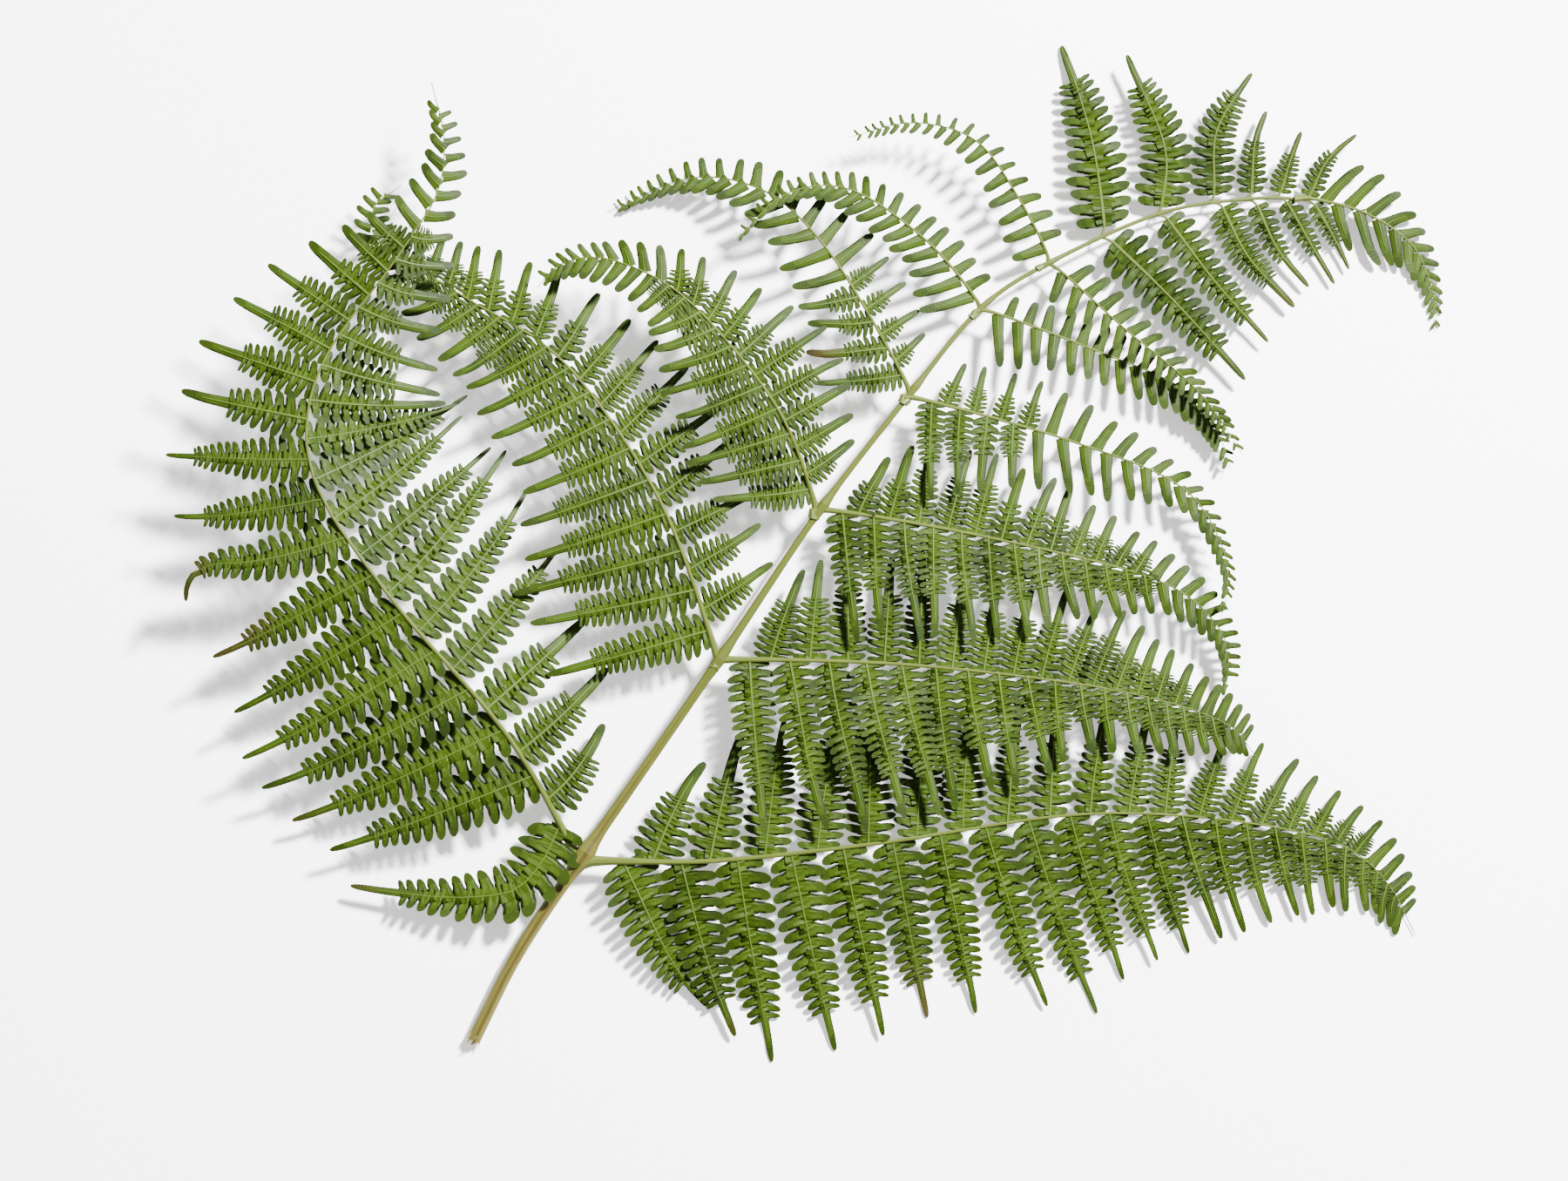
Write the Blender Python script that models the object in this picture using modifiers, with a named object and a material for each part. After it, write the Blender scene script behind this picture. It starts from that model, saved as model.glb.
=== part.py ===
"""Cut bracken frond lying on a table: stalk with rachis, twelve pairs of pinnae, tip.

+X runs right, +Y towards the frond's upper edge, +Z up. Lengths here are in
millimetres and are turned to metres where each mesh is written.
"""
import math

import bpy

MM = 0.001
CENTRE = (6.2, 2.0)       # middle of the plan in the coordinates below
LEAF_THICK = 1.0          # blade of a pinnule, drawn as one sheet
RIB_THICK = 1.7           # midrib of a pinna at its foot
TUBE_SIDES = 10
LIFT_MIN = 0.7            # mid-plane of the lowest leaf above the table
NOTCH = 0.17              # half width of a pinnule's foot, in pinnule spacings
SMALL_LEAF = 9.0          # shorter pinnules are single teeth
END_GAP = 3.0             # pinnules closer than this near a rib's end: every second one is drawn

LEAF_GREEN = (0.13, 0.27, 0.06, 1.0)
LEAF_GREEN_LIGHT = (0.19, 0.34, 0.08, 1.0)
STALK_OCHRE = (0.35, 0.28, 0.11, 1.0)

# Rachis from the cut end of the stalk to the last large pinna: x, y, z.
STALK = [(-109, -167, 3), (-93, -136, 5), (-68, -99, 9), (-25, -37, 13), (10, 15, 14), (41, 55, 13),
         (65, 84, 11), (89, 100, 9), (127, 117, 6), (158, 122, 5.5), (178, 122, 4.5)]
STALK_RADII = (3.0, 2.4, 1.8, 1.4, 1.1, 0.8, 0.7)     # evenly from the cut end
STALK_STATIONS = 56
NODE_SWELL = 0.3          # extra radius where a pair of pinnae leaves the rachis
NODE_LENGTH = 5.0         # how far a swelling reaches along the rachis
FOOT_GAP = 0.9            # from the rachis to the middle of a pinna's foot

# A pinna has a rib (x, y, z) and an outer and an inner row of pinnules. Each row gives, at even
# places from the rib's foot to its end, how long its pinnules are, which way they point in
# degrees from +X, and at foot, middle and end how much they rise per millimetre.
PINNAE = {
    "pinna_left_1": dict(
        rib=[(-75, -100, 9), (-97, -61, 18), (-135, -15, 29), (-161, 27, 34), (-158, 63, 34),
             (-131, 102, 33), (-117, 130, 28), (-122, 160, 20)], pairs=30, wide=5.2,
        outer=dict(reach=(73, 80, 68, 50, 38, 12, 3), heading=(190, 208, 213, 188, 148, 130, 140),
                   slope=(-0.04, -0.12, -0.10)),
        inner=dict(reach=(25, 45, 64, 56, 36, 10, 3), heading=(62, 42, 52, 32, -20, 5, 30),
                   slope=(-0.14, -0.40, -0.30))),
    "pinna_left_2": dict(
        rib=[(-26, -32, 13), (-45, 19, 18), (-77, 65, 20), (-112, 88, 18), (-140, 106, 15),
             (-142, 119, 13), (-133, 126, 12)], pairs=28, wide=4.6,
        outer=dict(reach=(54, 58, 42, 35, 26, 10, 3), heading=(198, 191, 204, 206, 215, 190, 110),
                   slope=(0.03, 0.05, 0.05)),
        inner=dict(reach=(28, 30, 35, 28, 22, 10, 3), heading=(40, 28, 40, 50, 85, 60, -20),
                   slope=(-0.10, -0.20, -0.20))),
    "pinna_left_3": dict(
        rib=[(8, 18, 14), (-2, 45, 21), (-19, 69, 24), (-40, 90, 25), (-63, 100, 25),
             (-78, 98, 24), (-86, 90, 23)], pairs=26, wide=3.4,
        outer=dict(reach=(33, 36, 33, 22, 12, 9, 3), heading=(184, 198, 202, 200, 226, 235, 260),
                   slope=(0.06, 0.06, 0.04)),
        inner=dict(reach=(16, 25, 29, 20, 12, 6, 3), heading=(40, 28, 34, 62, 95, 130, 160),
                   slope=(-0.10, -0.15, -0.12))),
    "pinna_left_4": dict(
        rib=[(40, 57, 13), (24, 86, 17), (9, 108, 17), (-9, 124, 13), (-34, 129, 7),
             (-63, 118, 1)], pairs=26, wide=2.2,
        outer=dict(reach=(32, 24, 18, 15, 10, 6, 3), heading=(188, 184, 198, 195, 210, 230, 235),
                   slope=(0.08, 0.06, 0.05)),
        inner=dict(reach=(14, 16, 16, 11, 8, 5, 2), heading=(50, 34, 38, 62, 85, 115, 130),
                   slope=(-0.16, -0.16, -0.08))),
    "pinna_left_5": dict(
        rib=[(64, 86, 11), (46, 107, 16), (20, 124, 19), (-2, 122, 20), (-19, 106, 21)],
        pairs=30, wide=1.6,
        outer=dict(reach=(20, 14, 11, 10, 7, 5, 2), heading=(200, 195, 204, 206, 218, 235, 245),
                   slope=(0.14, 0.08, 0.04)),
        inner=dict(reach=(9, 9, 8, 7, 5, 4, 2), heading=(28, 36, 48, 88, 110, 135, 155),
                   slope=(-0.08, -0.10, -0.08))),
    "pinna_left_6": dict(
        rib=[(88, 102, 9), (77, 123, 13), (63, 141, 15), (42, 147, 15), (19, 142, 14)],
        pairs=24, wide=1.5,
        outer=dict(reach=(12, 11, 9, 8, 5, 4, 2), heading=(195, 210, 214, 222, 225, 235, 250),
                   slope=(0.08, 0.06, 0.04)),
        inner=dict(reach=(9, 8, 6, 5, 4, 3, 2), heading=(22, 16, 16, 35, 85, 115, 140),
                   slope=(-0.08, -0.08, -0.05))),
    "pinna_right_1": dict(
        outer_side=-1,
        rib=[(-66, -105, 9), (-26, -105, 9), (30, -99, 9), (102, -89, 8), (162, -93, 6),
             (198, -105, 3), (215, -131, 1)], pairs=29, wide=5.0,
        outer=dict(reach=(60, 70, 62, 68, 45, 26, 5), heading=(-60, -80, -79, -72, -71, -82, -105),
                   slope=(-0.12, -0.12, -0.05)),
        inner=dict(reach=(32, 51, 51, 43, 35, 18, 4), heading=(58, 80, 85, 84, 78, 55, 40),
                   slope=(-0.07, -0.07, -0.03))),
    "pinna_right_2": dict(
        outer_side=-1,
        rib=[(-20, -36, 13), (42, -38, 12), (108, -46, 11), (147, -57, 10), (159, -69, 9)],
        pairs=26, wide=4.2,
        outer=dict(reach=(61, 60, 50, 40, 22, 18, 4), heading=(-88, -74, -78, -80, -80, -75, -70),
                   slope=(0.03, 0.03, 0.03)),
        inner=dict(reach=(27, 38, 38, 34, 27, 14, 4), heading=(50, 88, 87, 78, 66, 70, 50),
                   slope=(-0.07, -0.07, -0.05))),
    "pinna_right_3": dict(
        outer_side=-1,
        rib=[(13, 15, 14), (66, 6, 13), (123, -8, 11), (145, -23, 9), (150, -38, 7),
             (148, -50, 6)], pairs=30, wide=2.7,
        outer=dict(reach=(44, 40, 34, 23, 13, 8, 3), heading=(-80, -86, -84, -78, -76, -90, -115),
                   slope=(0.08, 0.07, 0.05)),
        inner=dict(reach=(16, 31, 28, 20, 11, 6, 3), heading=(48, 80, 70, 68, 55, 20, -30),
                   slope=(-0.07, -0.13, -0.08))),
    "pinna_right_4": dict(
        outer_side=-1,
        rib=[(44, 53, 13), (98, 38, 10), (135, 22, 9), (149, -3, 12), (147, -22, 13)],
        pairs=28, wide=1.9,
        outer=dict(reach=(34, 25, 20, 15, 9, 6, 3), heading=(-92, -98, -83, -84, -78, -100, -125),
                   slope=(0.14, 0.12, 0.05)),
        inner=dict(reach=(14, 18, 16, 10, 6, 4, 2), heading=(58, 78, 67, 50, 10, -30, -55),
                   slope=(-0.07, -0.07, -0.05))),
    "pinna_right_5": dict(
        outer_side=-1,
        rib=[(68, 83, 11), (104, 70, 8), (134, 57, 6), (147, 41, 5), (151, 29, 5)],
        pairs=28, wide=1.5,
        outer=dict(reach=(20, 13, 11, 12, 11, 7, 3), heading=(-86, -95, -93, -82, -85, -100, -115),
                   slope=(0.18, 0.14, 0.08)),
        inner=dict(reach=(7, 9, 10, 8, 6, 4, 2), heading=(58, 76, 72, 55, 30, -10, -30),
                   slope=(-0.05, -0.05, -0.03))),
    "pinna_right_6": dict(
        outer_side=-1,
        rib=[(91, 98, 9), (113, 78, 12), (139, 56, 11), (155, 34, 8)], pairs=24, wide=1.4,
        outer=dict(reach=(12, 9, 8, 7, 6, 4, 2), heading=(-107, -108, -106, -104, -100, -100, -100),
                   slope=(0.02, 0.02, 0.02)),
        inner=dict(reach=(9, 10, 9, 7, 6, 5, 2), heading=(38, 35, 32, 18, -5, -20, -30),
                   slope=(-0.05, -0.05, -0.03))),
}

# Upper pinnae are lances with toothed edges: rib, half width at the foot, teeth a side.
LANCES = {
    "pinna_left_7": dict(rib=[(107.5, 112.2, 7), (104, 138, 8), (99, 158, 5), (93, 175, 1)],
                         wide=7.5, teeth=11),
    "pinna_left_8": dict(rib=[(127, 119, 6), (128, 140, 8), (115, 171, 8)], wide=6.6, teeth=10),
    "pinna_left_9": dict(rib=[(145, 123, 6), (146, 145, 8), (158, 165, 7)], wide=5.5, teeth=8),
    "pinna_left_10": dict(rib=[(158, 124, 5.5), (159, 140, 7), (163, 152, 6)], wide=3.6, teeth=6),
    "pinna_left_11": dict(rib=[(168, 124, 5), (171, 134, 6), (175, 145, 6)], wide=3.2, teeth=5),
    "pinna_left_12": dict(rib=[(178, 123, 4.5), (184, 135, 5.5), (194, 144, 6)], wide=2.8, teeth=4),
    "pinna_right_7": dict(rib=[(110.3, 107, 7), (132, 86, 8), (156, 60, 6)], wide=6.5, teeth=10),
    "pinna_right_8": dict(rib=[(129, 115, 6), (145, 94, 7), (164, 73, 5)], wide=5.0, teeth=9),
    "pinna_right_9": dict(rib=[(148, 119, 6), (157, 102, 6), (173, 85, 5)], wide=4.6, teeth=8),
    "pinna_right_10": dict(rib=[(160, 119.8, 5), (167, 105, 5), (178, 92, 4)], wide=3.4, teeth=6),
    "pinna_right_11": dict(rib=[(170, 121, 5), (179, 106, 4), (187, 93, 3)], wide=3.0, teeth=5),
    "pinna_right_12": dict(rib=[(180, 120, 4), (187, 108, 4), (192, 98, 3)], wide=2.6, teeth=4),
}

# The last part of the frond, built like a pinna.
TIP = dict(
    rib=[(180, 122, 4.5), (198, 117, 4), (214, 106, 2.5), (221, 90, 1.2), (222, 77, 0.9)],
    pairs=16, wide=0.8,
    outer=dict(reach=(20, 14, 8, 5, 2), heading=(50, 38, 5, -30, -60), slope=(0.05, 0.03, 0.0)),
    inner=dict(reach=(16, 20, 12, 6, 2), heading=(-70, -68, -78, -110, -120),
               slope=(-0.02, -0.02, 0.0)))


def curve_point(points, f):
    """Catmull-Rom through the points, at fraction f of their number."""
    last = len(points) - 1
    k = min(int(f * last), last - 1)
    t = f * last - k
    p1, p2 = points[k], points[k + 1]
    p0 = points[k - 1] if k > 0 else [2 * a - b for a, b in zip(p1, p2)]
    p3 = points[k + 2] if k + 2 <= last else [2 * b - a for a, b in zip(p1, p2)]
    return [0.5 * (2 * b + (c - a) * t + (2 * a - 5 * b + 4 * c - d) * t * t
                   + (3 * b - a - 3 * c + d) * t ** 3)
            for a, b, c, d in zip(p0, p1, p2, p3)]


def even_route(points, count=240):
    """The same curve as points an equal length apart."""
    fine = [curve_point(points, i / (4 * count)) for i in range(4 * count + 1)]
    runs = [0.0]
    for a, b in zip(fine, fine[1:]):
        runs.append(runs[-1] + math.dist(a[:3], b[:3]))
    route, k = [], 0
    for i in range(count + 1):
        goal = runs[-1] * i / count
        while k < len(fine) - 2 and runs[k + 1] < goal:
            k += 1
        t = (goal - runs[k]) / max(runs[k + 1] - runs[k], 1e-9)
        route.append([a + (b - a) * t for a, b in zip(fine[k], fine[k + 1])])
    return route, runs[-1]


def along(route, f):
    """Place and flat direction at fraction f of an even route."""
    last = len(route) - 1
    x = min(max(f, 0.0), 1.0) * last
    k = min(int(x), last - 1)
    t = x - k
    here = [a + (b - a) * t for a, b in zip(route[k], route[k + 1])]
    a, b = route[max(k - 2, 0)], route[min(k + 3, last)]
    dx, dy = b[0] - a[0], b[1] - a[1]
    run = math.hypot(dx, dy)
    return here, (dx / run, dy / run)


def blend(values, f):
    """Value at fraction f of an evenly spaced list."""
    x = min(max(f, 0.0), 1.0) * (len(values) - 1)
    k = min(int(x), len(values) - 2)
    return values[k] + (values[k + 1] - values[k]) * (x - k)


def stalk_stations():
    """Stations of the stalk's tube, thicker where each pinna leaves it."""
    route, length = even_route(STALK)
    feet = [entry["rib"][0] for entry in list(PINNAE.values()) + list(LANCES.values())]
    stations = []
    for k in range(STALK_STATIONS + 1):
        here = along(route, k / STALK_STATIONS)[0]
        near = min(math.dist(here[:2], foot[:2]) for foot in feet)
        swell = 1 + NODE_SWELL * math.exp(-(near / NODE_LENGTH) ** 2)
        stations.append((*here, blend(STALK_RADII, k / STALK_STATIONS) * swell))
    return stations


def seated(rib):
    """The rib with its foot moved to the side of the rachis it starts from."""
    route, length = even_route(STALK)
    near = min((k / 400 for k in range(401)),
               key=lambda f: math.dist(along(route, f)[0][:2], rib[0][:2]))
    x, y, z = along(route, near)[0]
    out = blend(STALK_RADII, near) * (1 + NODE_SWELL) + FOOT_GAP
    dx, dy = rib[0][0] - x, rib[0][1] - y
    share = out / math.hypot(dx, dy)
    return [(x + dx * share, y + dy * share, z)] + rib[1:]


def material(name, colour):
    mat = bpy.data.materials.new(name)
    mat.use_nodes = True
    shader = mat.node_tree.nodes["Principled BSDF"]
    shader.inputs["Base Color"].default_value = colour
    shader.inputs["Roughness"].default_value = 0.55
    return mat


def mesh_object(name, verts, faces, mat):
    mesh = bpy.data.meshes.new(name)
    placed = [((x - CENTRE[0]) * MM, (y - CENTRE[1]) * MM, z * MM) for x, y, z in verts]
    mesh.from_pydata(placed, [], faces)
    mesh.materials.append(mat)
    obj = bpy.data.objects.new(name, mesh)
    FROND.objects.link(obj)
    return obj


def thicken(obj, rib_verts):
    """Sheet to solid: full rib thickness on the rib, leaf thickness elsewhere."""
    group = obj.vertex_groups.new(name="rib")
    group.add(rib_verts, 1.0, "REPLACE")
    solid = obj.modifiers.new("Thickness", "SOLIDIFY")
    solid.thickness = RIB_THICK * MM
    solid.offset = 0.0
    solid.use_even_offset = False
    solid.vertex_group = "rib"
    solid.thickness_vertex_group = LEAF_THICK / RIB_THICK
    return obj


def tube(name, stations, mat):
    """Closed tube with round sections through x, y, z, radius stations."""
    verts, faces = [], []
    last = len(stations) - 1
    for k, (x, y, z, r) in enumerate(stations):
        a, b = stations[max(k - 1, 0)], stations[min(k + 1, last)]
        dx, dy = b[0] - a[0], b[1] - a[1]
        run = math.hypot(dx, dy)
        for s in range(TUBE_SIDES):
            turn = 2 * math.pi * (s + 0.5) / TUBE_SIDES
            side, up = math.cos(turn) * r, math.sin(turn) * r
            verts.append((x - dy / run * side, y + dx / run * side, z + up))
    for k in range(last):
        for s in range(TUBE_SIDES):
            t = (s + 1) % TUBE_SIDES
            a, b = k * TUBE_SIDES, (k + 1) * TUBE_SIDES
            faces.append((a + s, a + t, b + t, b + s))
    faces.append(tuple(reversed(range(TUBE_SIDES))))
    faces.append(tuple(range(last * TUBE_SIDES, (last + 1) * TUBE_SIDES)))
    return mesh_object(name, verts, faces, mat)


def pinnule_places(spec, length, shift):
    """Number, fraction along the rib and half foot width of the pinnules on one side."""
    n = spec["pairs"]
    places = []
    for i in range(n - 1):
        f = 1 - (1 - (i + shift) / n) ** 2
        gap = 2 * (1 - (i + shift) / n) / n
        crowded = gap * length < END_GAP
        if f < 0.96 and not (crowded and i % 2):
            places.append((i, f, NOTCH * gap * (1.5 if crowded else 1.0)))
    return places


def pinnule_stops(route, row, f, i, wide):
    """Middle and tip of a pinnule as (x, y, z, full half width), and its flat direction."""
    (x, y, z), (dx, dy) = along(route, f)
    nx, ny = -dy * row["sign"], dx * row["sign"]
    reach = blend(row["reach"], f) * (1 + 0.05 * math.sin(2.3 * i))
    turn = math.radians(blend(row["heading"], f) + 3 * math.sin(1.9 * i))
    ux, uy = math.cos(turn), math.sin(turn)
    slope = blend(row["slope"], f) + (0, 0.03, -0.03)[i % 3] * (reach > 25)
    stops = []
    for s, w in ([(1.0, 0.45)] if reach < SMALL_LEAF else [(0.4, wide), (1.0, 0.5)]):
        bow = 0.25 * s * (1 - s) * reach
        stops.append((x + ux * reach * s + (nx - ux) * bow, y + uy * reach * s + (ny - uy) * bow,
                      max(z + slope * reach * s, LIFT_MIN), min(w, 0.30 * reach)))
    return stops, (uy * row["sign"], -ux * row["sign"])


def pinna(name, spec, mat):
    """One sheet: a strip for the rib with a lance for each pinnule, then thickened."""
    route, length = even_route(spec["rib"])
    outer_side = spec.get("outer_side", 1)
    rows = []
    for sign, side, shift in ((outer_side, "outer", 0.42), (-outer_side, "inner", 0.92)):
        law = dict(spec[side], sign=sign)
        row = []
        for i, f, half in pinnule_places(spec, length, shift):
            stops, across = pinnule_stops(route, law, f, i, spec["wide"])
            row.append((f - half, f + half, sign, stops, across))
        rows.append(row)
    cuts = {0.0, 1.0}
    for row in rows:
        cuts |= {round(c, 5) for place in row for c in place[:2]}
    cuts = sorted(cuts)
    verts, faces = [], []
    for f in cuts:
        (x, y, z), (dx, dy) = along(route, f)
        r = (0.95 if length > 60 else 0.6) * (1 - 0.62 * f)
        verts += [(x - dy * r, y + dx * r, z), (x + dy * r, y - dx * r, z)]
    faces += [(2 * k, 2 * k + 1, 2 * k + 3, 2 * k + 2) for k in range(len(cuts) - 1)]
    rib_count = len(verts)
    for row in rows:
        for n, (start, end, sign, stops, (px, py)) in enumerate(row):
            a, b = cuts.index(round(start, 5)), cuts.index(round(end, 5))
            ring = [2 * k + (0 if sign > 0 else 1) for k in range(a, b + 1)]
            near = [row[m][3] for m in (n - 1, n + 1) if 0 <= m < len(row)]
            for k, (x, y, z, w) in enumerate(stops):
                room = min(math.dist((x, y), other[min(k, len(other) - 1)][:2]) for other in near)
                w = min(w, max(0.38 * room, 0.3))
                verts += [(x - px * w, y - py * w, z), (x + px * w, y + py * w, z)]
                far = [len(verts) - 2, len(verts) - 1]
                face = ring + far[::-1]
                faces.append(tuple(face if sign > 0 else face[::-1]))
                ring = far
    obj = mesh_object(name, verts, faces, mat)
    return thicken(obj, list(range(rib_count)))


def lance(name, spec, mat):
    """One sheet with toothed edges about a rib, then thickened."""
    route, length = even_route(spec["rib"])
    count = 2 * spec["teeth"]
    verts, faces = [], []
    for k in range(count + 1):
        f = k / count
        (x, y, z), (dx, dy) = along(route, f)
        full = spec["wide"] * min(1.0, 3.2 * f + 0.35) * max(1 - f, 0.0) ** 0.75
        w = max(full if k % 2 else 0.38 * full, 0.55)
        push = 0.25 * full if k % 2 else 0.0
        drop = 0.10 * w
        x, y = x + dx * push, y + dy * push
        verts += [(x - dy * w, y + dx * w, max(z - drop, 0.6)), (x, y, z),
                  (x + dy * w, y - dx * w, max(z - drop, 0.6))]
    for k in range(count):
        a, b = 3 * k, 3 * k + 3
        faces += [(a, a + 1, b + 1, b), (a + 1, a + 2, b + 2, b + 1)]
    obj = mesh_object(name, verts, faces, mat)
    return thicken(obj, [3 * k + 1 for k in range(count + 1)])


for old in list(bpy.data.objects):
    bpy.data.objects.remove(old, do_unlink=True)
FROND = bpy.data.collections.new("bracken_frond")
bpy.context.scene.collection.children.link(FROND)

leaf = material("bracken_leaf", LEAF_GREEN)
leaf_light = material("bracken_leaf_upper", LEAF_GREEN_LIGHT)
ochre = material("bracken_stalk", STALK_OCHRE)

tube("stalk", stalk_stations(), ochre)
for key, entry in PINNAE.items():
    pinna(key, dict(entry, rib=seated(entry["rib"])), leaf)
for key, entry in LANCES.items():
    lance(key, entry, leaf_light)
pinna("frond_tip", TIP, leaf_light)
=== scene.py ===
import math
import random

import bpy
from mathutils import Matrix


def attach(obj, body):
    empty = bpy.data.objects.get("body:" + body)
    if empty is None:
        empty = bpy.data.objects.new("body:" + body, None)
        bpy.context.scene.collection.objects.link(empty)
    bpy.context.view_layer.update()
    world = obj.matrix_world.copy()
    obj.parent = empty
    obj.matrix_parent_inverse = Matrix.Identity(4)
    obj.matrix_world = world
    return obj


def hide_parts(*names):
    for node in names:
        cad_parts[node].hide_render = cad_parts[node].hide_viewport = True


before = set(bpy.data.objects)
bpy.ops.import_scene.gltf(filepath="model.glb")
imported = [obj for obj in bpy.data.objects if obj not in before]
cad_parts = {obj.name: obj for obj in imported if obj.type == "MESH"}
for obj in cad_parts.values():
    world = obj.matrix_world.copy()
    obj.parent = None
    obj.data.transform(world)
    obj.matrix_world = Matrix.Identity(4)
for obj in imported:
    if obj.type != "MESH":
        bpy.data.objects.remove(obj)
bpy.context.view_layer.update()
mm = 0.001
middle = (6.2, 2.0)      # plan centre of the routes below, which are laid out in millimetres


# small tools for working by hand in object and edit mode
def clearSelection():
    if bpy.context.object and bpy.context.object.mode != "OBJECT":
        bpy.ops.object.mode_set(mode="OBJECT")
    bpy.ops.object.select_all(action="DESELECT")


def makeActive(piece):
    clearSelection()
    piece.select_set(True)
    bpy.context.view_layer.objects.active = piece


def joinPieces(pieces, name):
    makeActive(pieces[0])
    for piece in pieces:
        piece.select_set(True)
    bpy.ops.object.join()
    joined = bpy.context.object
    joined.name = joined.data.name = name
    return joined


def copyPiece(piece):
    twin = piece.copy()
    twin.data = piece.data.copy()
    bpy.context.scene.collection.objects.link(twin)
    return twin


def applyModifiers(piece):
    makeActive(piece)
    for modifier in list(piece.modifiers):
        bpy.ops.object.modifier_apply(modifier=modifier.name)


def editSelecting(piece, test, mode="VERT"):
    makeActive(piece)
    bpy.ops.object.mode_set(mode="EDIT")
    bpy.ops.mesh.select_mode(type=mode)
    bpy.ops.mesh.select_all(action="DESELECT")
    bpy.ops.object.mode_set(mode="OBJECT")
    for part in piece.data.vertices if mode == "VERT" else piece.data.edges:
        part.select = test(part)
    bpy.ops.object.mode_set(mode="EDIT")


def setAttribute(piece, name, values):
    layers = piece.data.attributes
    layer = layers.get(name) or layers.new(name, "FLOAT", "POINT")
    layer.data.foreach_set("value", values)


def getAttribute(piece, name):
    values = [0.0] * len(piece.data.vertices)
    piece.data.attributes[name].data.foreach_get("value", values)
    return values


# curves in plain numbers, used to lay things along the rachis and the ribs
def smoothPoint(points, f):
    last = len(points) - 1
    k = min(int(f * last), last - 1)
    t = f * last - k
    p1, p2 = points[k], points[k + 1]
    p0 = points[k - 1] if k > 0 else [2 * a - b for a, b in zip(p1, p2)]
    p3 = points[k + 2] if k + 2 <= last else [2 * b - a for a, b in zip(p1, p2)]
    return [0.5 * (2 * b + (c - a) * t + (2 * a - 5 * b + 4 * c - d) * t * t
                   + (3 * b - a - 3 * c + d) * t ** 3)
            for a, b, c, d in zip(p0, p1, p2, p3)]


def evenRoute(points, count=240):
    fine = [smoothPoint(points, i / (4 * count)) for i in range(4 * count + 1)]
    runs = [0.0]
    for a, b in zip(fine, fine[1:]):
        runs.append(runs[-1] + math.dist(a[:3], b[:3]))
    route, k = [], 0
    for i in range(count + 1):
        goal = runs[-1] * i / count
        while k < len(fine) - 2 and runs[k + 1] < goal:
            k += 1
        t = (goal - runs[k]) / max(runs[k + 1] - runs[k], 1e-9)
        route.append([a + (b - a) * t for a, b in zip(fine[k], fine[k + 1])])
    return route, runs[-1]


def along(route, f):
    last = len(route) - 1
    x = min(max(f, 0.0), 1.0) * last
    k = min(int(x), last - 1)
    here = [a + (b - a) * (x - k) for a, b in zip(route[k], route[k + 1])]
    a, b = route[max(k - 2, 0)], route[min(k + 3, last)]
    dx, dy = b[0] - a[0], b[1] - a[1]
    run = math.hypot(dx, dy)
    return here, (dx / run, dy / run)


def blend(values, f):
    x = min(max(f, 0.0), 1.0) * (len(values) - 1)
    k = min(int(x), len(values) - 2)
    return values[k] + (values[k + 1] - values[k]) * (x - k)


def place(point):
    return ((point[0] - middle[0]) * mm, (point[1] - middle[1]) * mm, point[2] * mm)


# materials
def linear(hexColour):
    parts = [int(hexColour[i:i + 2], 16) / 255 for i in (1, 3, 5)]
    return [c / 12.92 if c <= 0.04045 else ((c + 0.055) / 1.055) ** 2.4 for c in parts] + [1]


def addNode(tree, kind, settings):
    node = tree.nodes.new(kind)
    for key, value in settings.items():
        if isinstance(value, bpy.types.NodeSocket):
            tree.links.new(value, node.inputs[key])
        elif isinstance(key, int) or key in node.inputs:
            node.inputs[key].default_value = value
        else:
            setattr(node, key, value)
    return node.outputs


def newMaterial(name):
    mat = bpy.data.materials.new(name)
    mat.use_nodes = True
    mat.node_tree.nodes.clear()
    return mat, mat.node_tree


leafLook = {
    # the margin colour is painted shade: the dark line where each lobe's rim rolls under
    "green": "#223103", "lightGreen": "#2f4109", "deepGreen": "#152202", "marginShadeColour": "#090f01",
    "groove": "#334512", "rust": "#282208", "brown": "#171107",
    "patch": 11.0,       # mm, size of the paler and darker areas
    "grain": 0.5,        # mm, leaf surface grain, drawn coarser than the real 0.1 mm so it shows
    "veins": 11,         # forked side veins along one lobe
}


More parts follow.
